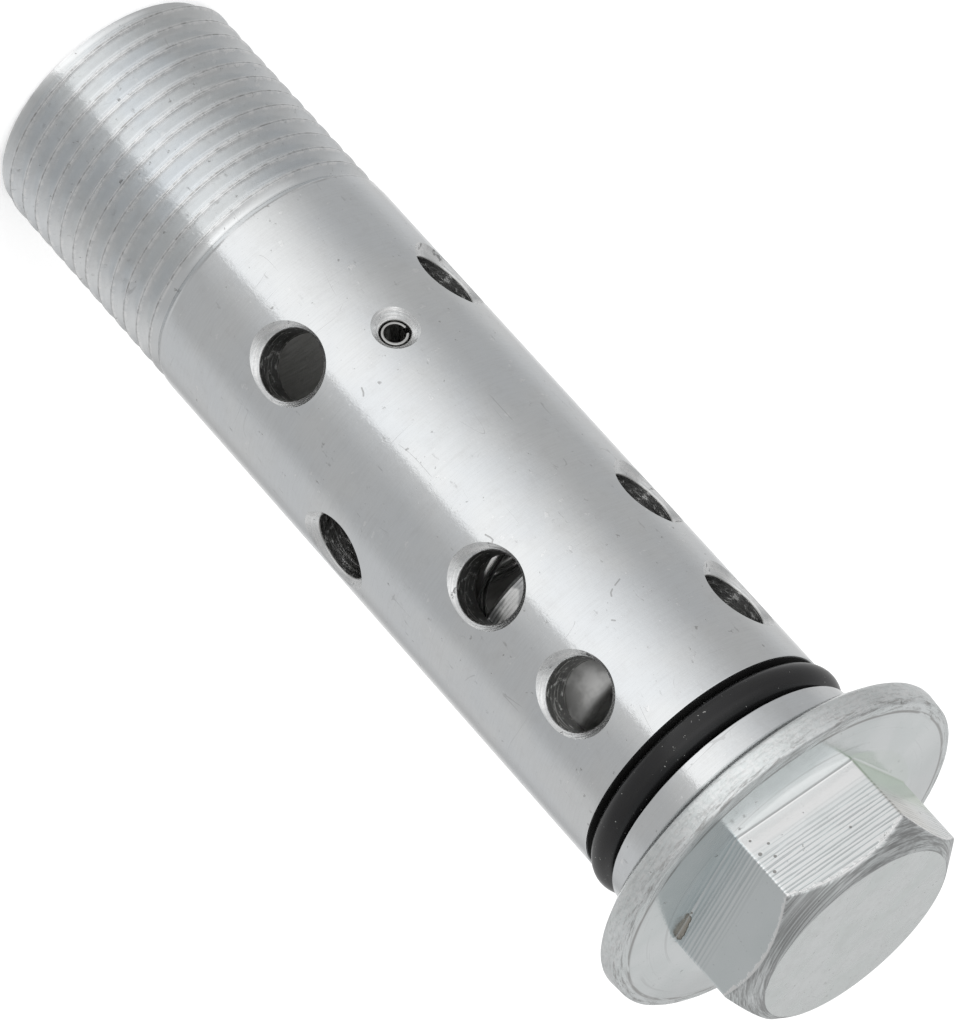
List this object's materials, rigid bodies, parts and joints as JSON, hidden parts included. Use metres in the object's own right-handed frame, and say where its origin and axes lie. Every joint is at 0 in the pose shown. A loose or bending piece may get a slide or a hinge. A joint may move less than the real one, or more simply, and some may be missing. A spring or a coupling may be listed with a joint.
{
  "type": "oil filter bolt",
  "caption": "Hollow hex flange bolt that clamps an oil filter and feeds it through radial ports, with a sealing ring and a sprung bypass valve inside.",
  "frame": {"origin": "centre of the threaded end's face, on the bolt's axis, where the bolt stands", "axes": "+Z along the bolt's axis towards the hexagon head, +X and +Y through the middle row of oil ports"},
  "size_m": [0.0286, 0.0286, 0.0835],
  "materials": {
    "plated_steel": "satin zinc plating over turned steel, fine turning marks and hairline scratches",
    "black_rubber": "soft sheen, a little dust",
    "pin_steel": "bright rolled strip",
    "valve_steel": "turned, bright, with tool marks on the skirt",
    "spring_steel": "oiled dark wire"
  },
  "bodies": {
    "bolt": {"bolt_body": "plated_steel", "o_ring": "black_rubber", "roll_pin": "pin_steel", "relief_spring": "spring_steel"},
    "valve": {"relief_valve": "valve_steel"}
  },
  "joints": [
    {"name": "valve_slide", "type": "slide", "parent": "bolt", "child": "valve", "axis": [0, 0, -1], "range_m": [0, 0.012], "stiffness_N_per_m": 1200, "springref_m": -0.001, "deforming": ["relief_spring"]}
  ]
}
